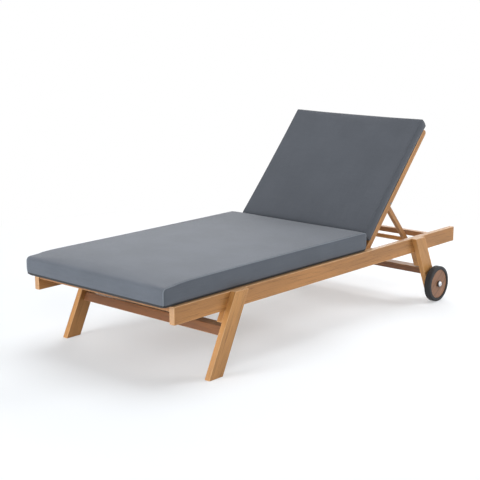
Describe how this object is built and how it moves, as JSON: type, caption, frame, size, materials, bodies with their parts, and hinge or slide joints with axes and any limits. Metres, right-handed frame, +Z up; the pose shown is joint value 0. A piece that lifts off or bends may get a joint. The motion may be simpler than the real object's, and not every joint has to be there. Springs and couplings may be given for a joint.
{
  "type": "sun lounger",
  "caption": "Wooden sun lounger with leaning legs, wheels at the head end, a tilting slatted backrest on a folding prop, and plain seat and back cushions.",
  "frame": {"origin": "on the floor, below the middle of the lounger's width and overall length", "axes": "+Y along the lounger from the foot end to the head end, +X across it towards the sitter's left when lying back, +Z up"},
  "size_m": [0.929, 1.946, 0.8432],
  "materials": {
    "wood": "oiled hardwood, fine straight grain",
    "wheel_wood": "darker oiled hardwood",
    "cushion_fabric": "plain grey outdoor cloth, fine weave",
    "tyre": "matt black",
    "rubber": "matt black",
    "steel": "plain stainless",
    "cap": "polished",
    "black_plastic": "matt",
    "bush": "matt"
  },
  "bodies": {
    "base": {"side_rail_right": "wood", "side_rail_left": "wood", "front_leg_right": "wood", "front_leg_left": "wood", "rear_leg_right": "wood", "rear_leg_left": "wood", "leg_blocks": "wood", "front_stretcher": "wood", "rear_stretcher": "wood", "stretcher_pins": "wood", "seat_bearer_right": "wood", "seat_bearer_left": "wood", "seat_slat_01": "wood", "seat_slat_02": "wood", "seat_slat_03": "wood", "seat_slat_04": "wood", "seat_slat_05": "wood", "seat_slat_06": "wood", "seat_slat_07": "wood", "seat_slat_08": "wood", "seat_slat_09": "wood", "seat_slat_10": "wood", "seat_slat_11": "wood", "slat_screws": "steel", "hinge_blocks": "wood", "hinge_bolts": "steel", "hinge_washers": "steel", "ratchet_strip_right": "wood", "ratchet_strip_left": "wood", "rail_screws": "steel", "leg_screws": "steel", "leg_plugs": "wood", "head_cross_bar": "wood", "head_rest_pads": "rubber", "axle_bolts": "steel", "axle_washers": "black_plastic", "axle_cap_nuts": "cap", "seat_cushion": "cushion_fabric"},
    "backrest": {"back_stile_right": "wood", "back_stile_left": "wood", "back_slat_1": "wood", "back_slat_2": "wood", "back_slat_3": "wood", "back_slat_4": "wood", "back_slat_5": "wood", "back_slat_6": "wood", "prop_pivot_bolts": "steel", "back_cushion": "cushion_fabric"},
    "prop": {"prop_strut_right": "wood", "prop_strut_left": "wood", "prop_bar": "wood", "prop_foot_pins": "steel", "prop_washers": "steel"},
    "wheel_right": {"wheel_tyre_right": "tyre", "wheel_disc_right": "wheel_wood", "wheel_bush_right": "bush"},
    "wheel_left": {"wheel_tyre_left": "tyre", "wheel_disc_left": "wheel_wood", "wheel_bush_left": "bush"}
  },
  "joints": [
    {"name": "backrest_tilt", "type": "hinge", "parent": "base", "child": "backrest", "pos_m": [0, 0.308, 0.297], "axis": [1, 0, 0], "range_deg": [-47.85, 9.15]},
    {"name": "prop_fold", "type": "hinge", "parent": "backrest", "child": "prop", "pos_m": [0, 0.48767, 0.48506], "axis": [1, 0, 0], "range_deg": [-18, 93.2]},
    {"name": "wheel_right_spin", "type": "hinge", "parent": "base", "child": "wheel_right", "pos_m": [0.4395, 0.74966, 0.0825], "axis": [1, 0, 0], "continuous": true},
    {"name": "wheel_left_spin", "type": "hinge", "parent": "base", "child": "wheel_left", "pos_m": [-0.4395, 0.74966, 0.0825], "axis": [1, 0, 0], "continuous": true}
  ],
  "couplings": [
    {"joint": "prop_fold", "follows": "backrest_tilt", "ratio": -1.9443}
  ]
}
